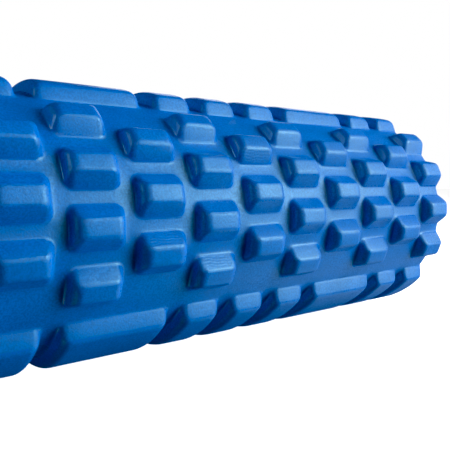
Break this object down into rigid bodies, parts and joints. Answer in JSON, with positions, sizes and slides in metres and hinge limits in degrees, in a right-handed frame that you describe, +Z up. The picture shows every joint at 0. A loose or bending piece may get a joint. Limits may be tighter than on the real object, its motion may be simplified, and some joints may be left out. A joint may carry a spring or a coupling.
{
  "type": "foam roller",
  "caption": "Hollow massage roller: a rigid tube wrapped in a moulded foam mat with staggered blocks and long cross bars.",
  "frame": {"origin": "centre of the box's underside, on the surface that the roller lies on, halfway along it", "axes": "+X along the roller's axis, +Z up, -Y towards the block zone that faces the front"},
  "size_m": [0.33, 0.141, 0.1408],
  "materials": {
    "foam": "closed-cell EVA foam with a moulded skin, fine grain and a soft satin sheen",
    "adhesive": "dried contact adhesive, translucent amber, slightly uneven",
    "core_plastic": "extruded plastic, satin, with fine draw lines along the tube"
  },
  "bodies": {
    "root": {"foam_cover": "foam", "seam_bond": "adhesive", "bond_film": "adhesive", "core_tube": "core_plastic"}
  },
  "joints": []
}
